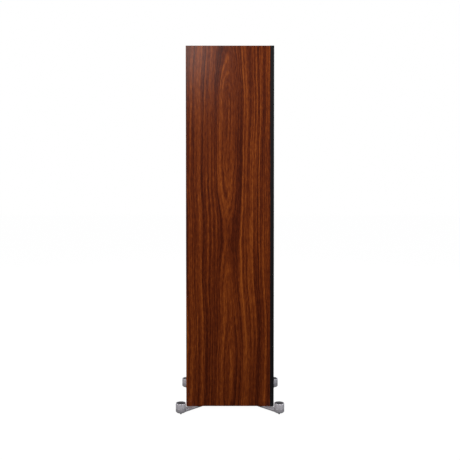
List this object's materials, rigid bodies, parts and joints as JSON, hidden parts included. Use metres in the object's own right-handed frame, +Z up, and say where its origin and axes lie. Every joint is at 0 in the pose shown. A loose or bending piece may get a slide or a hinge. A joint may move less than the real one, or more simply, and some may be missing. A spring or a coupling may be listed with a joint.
{
  "type": "floorstanding speaker",
  "caption": "Slim veneered tower loudspeaker with a dark front, rear port and terminals, on four outrigger feet with adjustable spikes.",
  "frame": {"origin": "on the floor, at the spike tips, under the middle of the cabinet", "axes": "+Z up, the front with the drive units faces -Y, +X to the right seen from the front"},
  "size_m": [0.2702, 0.323, 1.1],
  "materials": {
    "walnut": "satin lacquered veneer",
    "fibreboard": "raw fibreboard",
    "satin_black": "satin lacquer over fibreboard",
    "cast_black": "textured black paint",
    "rubber": "matte",
    "cone_fibre": "coated pulp",
    "copper": "enamelled wire",
    "spider_cloth": "resin-treated cloth",
    "ferrite": "matte",
    "steel": "machined",
    "satin_metal": "bead-blasted satin",
    "gold": "gold plated",
    "red_plastic": "moulded",
    "black_plastic": "moulded",
    "port_plastic": "fine moulded texture",
    "board": "solder mask",
    "cable_jacket": "matte",
    "wadding": "fluffy polyester",
    "dome_cloth": "coated silk"
  },
  "bodies": {
    "cabinet": {"side_panel_left": "walnut", "side_panel_right": "walnut", "top_panel": "walnut", "bottom_panel": "walnut", "rear_panel": "walnut", "front_fascia": "satin_black", "inner_baffle": "fibreboard", "brace_lower": "fibreboard", "brace_upper": "fibreboard", "midrange_chamber": "fibreboard", "wadding": "wadding", "reflex_port": "port_plastic", "terminal_cup": "port_plastic", "post_stud_red": "gold", "post_stud_black": "gold", "crossover_board": "board", "crossover_coil": "copper", "wiring_loom": "cable_jacket", "midrange_phase_plug": "satin_metal", "tweeter_faceplate": "cast_black", "tweeter_motor": "ferrite", "tweeter_rear_chamber": "black_plastic", "woofer_upper_basket": "cast_black", "woofer_upper_surround": "rubber", "woofer_upper_spider": "spider_cloth", "woofer_upper_magnet": "ferrite", "woofer_upper_yoke": "steel", "woofer_lower_basket": "cast_black", "woofer_lower_surround": "rubber", "woofer_lower_spider": "spider_cloth", "woofer_lower_magnet": "ferrite", "woofer_lower_yoke": "steel", "midrange_basket": "cast_black", "midrange_surround": "rubber", "midrange_spider": "spider_cloth", "midrange_magnet": "ferrite", "midrange_yoke": "steel", "outrigger_front_left": "satin_metal", "outrigger_front_right": "satin_metal", "outrigger_rear_left": "satin_metal", "outrigger_rear_right": "satin_metal"},
    "woofer_upper_motion": {"woofer_upper_cone": "cone_fibre", "woofer_upper_voice_coil": "copper"},
    "woofer_lower_motion": {"woofer_lower_cone": "cone_fibre", "woofer_lower_voice_coil": "copper"},
    "midrange_motion": {"midrange_cone": "cone_fibre", "midrange_voice_coil": "copper"},
    "tweeter_motion": {"tweeter_dome": "dome_cloth"},
    "post_nut_body_red": {"post_nut_red": "gold"},
    "post_cap_body_red": {"post_cap_red": "red_plastic"},
    "post_nut_body_black": {"post_nut_black": "gold"},
    "post_cap_body_black": {"post_cap_black": "black_plastic"},
    "wheel_body_front_left": {"thumbwheel_front_left": "satin_metal"},
    "spike_body_front_left": {"spike_front_left": "steel"},
    "wheel_body_front_right": {"thumbwheel_front_right": "satin_metal"},
    "spike_body_front_right": {"spike_front_right": "steel"},
    "wheel_body_rear_left": {"thumbwheel_rear_left": "satin_metal"},
    "spike_body_rear_left": {"spike_rear_left": "steel"},
    "wheel_body_rear_right": {"thumbwheel_rear_right": "satin_metal"},
    "spike_body_rear_right": {"spike_rear_right": "steel"}
  },
  "joints": [
    {"name": "woofer_upper_travel", "type": "slide", "parent": "cabinet", "child": "woofer_upper_motion", "axis": [0, -1, 0], "range_m": [-0.005, 0.005], "stiffness_N_per_m": 1400, "deforming": ["woofer_upper_surround", "woofer_upper_spider"]},
    {"name": "woofer_lower_travel", "type": "slide", "parent": "cabinet", "child": "woofer_lower_motion", "axis": [0, -1, 0], "range_m": [-0.005, 0.005], "stiffness_N_per_m": 1400, "deforming": ["woofer_lower_surround", "woofer_lower_spider"]},
    {"name": "midrange_travel", "type": "slide", "parent": "cabinet", "child": "midrange_motion", "axis": [0, -1, 0], "range_m": [-0.0025, 0.0025], "stiffness_N_per_m": 1800, "deforming": ["midrange_surround", "midrange_spider"]},
    {"name": "tweeter_travel", "type": "slide", "parent": "cabinet", "child": "tweeter_motion", "axis": [0, -1, 0], "range_m": [-0.0004, 0.0004], "stiffness_N_per_m": 2500},
    {"name": "post_nut_travel_red", "type": "slide", "parent": "cabinet", "child": "post_nut_body_red", "axis": [0, 1, 0], "range_m": [0, 0.005]},
    {"name": "post_cap_turn_red", "type": "hinge", "parent": "post_nut_body_red", "child": "post_cap_body_red", "pos_m": [-0.019, 0.1015, 0.15], "axis": [0, 1, 0], "range_deg": [0, 1795]},
    {"name": "post_nut_travel_black", "type": "slide", "parent": "cabinet", "child": "post_nut_body_black", "axis": [0, 1, 0], "range_m": [0, 0.005]},
    {"name": "post_cap_turn_black", "type": "hinge", "parent": "post_nut_body_black", "child": "post_cap_body_black", "pos_m": [0.019, 0.1015, 0.15], "axis": [0, 1, 0], "range_deg": [0, 1795]},
    {"name": "wheel_turn_front_left", "type": "hinge", "parent": "cabinet", "child": "wheel_body_front_left", "pos_m": [-0.12, -0.1463, 0.0276], "axis": [0, 0, 1], "range_deg": [0, 1915]},
    {"name": "spike_travel_front_left", "type": "slide", "parent": "cabinet", "child": "spike_body_front_left", "axis": [0, 0, -1], "range_m": [0, 0.008]},
    {"name": "wheel_turn_front_right", "type": "hinge", "parent": "cabinet", "child": "wheel_body_front_right", "pos_m": [0.12, -0.1463, 0.0276], "axis": [0, 0, 1], "range_deg": [0, 1915]},
    {"name": "spike_travel_front_right", "type": "slide", "parent": "cabinet", "child": "spike_body_front_right", "axis": [0, 0, -1], "range_m": [0, 0.008]},
    {"name": "wheel_turn_rear_left", "type": "hinge", "parent": "cabinet", "child": "wheel_body_rear_left", "pos_m": [-0.12, 0.1463, 0.0276], "axis": [0, 0, 1], "range_deg": [0, 1915]},
    {"name": "spike_travel_rear_left", "type": "slide", "parent": "cabinet", "child": "spike_body_rear_left", "axis": [0, 0, -1], "range_m": [0, 0.008]},
    {"name": "wheel_turn_rear_right", "type": "hinge", "parent": "cabinet", "child": "wheel_body_rear_right", "pos_m": [0.12, 0.1463, 0.0276], "axis": [0, 0, 1], "range_deg": [0, 1915]},
    {"name": "spike_travel_rear_right", "type": "slide", "parent": "cabinet", "child": "spike_body_rear_right", "axis": [0, 0, -1], "range_m": [0, 0.008]}
  ],
  "couplings": [
    {"joint": "post_nut_travel_red", "follows": "post_cap_turn_red", "m_per_rad": 0.00015915},
    {"joint": "post_nut_travel_black", "follows": "post_cap_turn_black", "m_per_rad": 0.00015915},
    {"joint": "spike_travel_front_left", "follows": "wheel_turn_front_left", "m_per_rad": 0.00023873},
    {"joint": "spike_travel_front_right", "follows": "wheel_turn_front_right", "m_per_rad": 0.00023873},
    {"joint": "spike_travel_rear_left", "follows": "wheel_turn_rear_left", "m_per_rad": 0.00023873},
    {"joint": "spike_travel_rear_right", "follows": "wheel_turn_rear_right", "m_per_rad": 0.00023873}
  ]
}
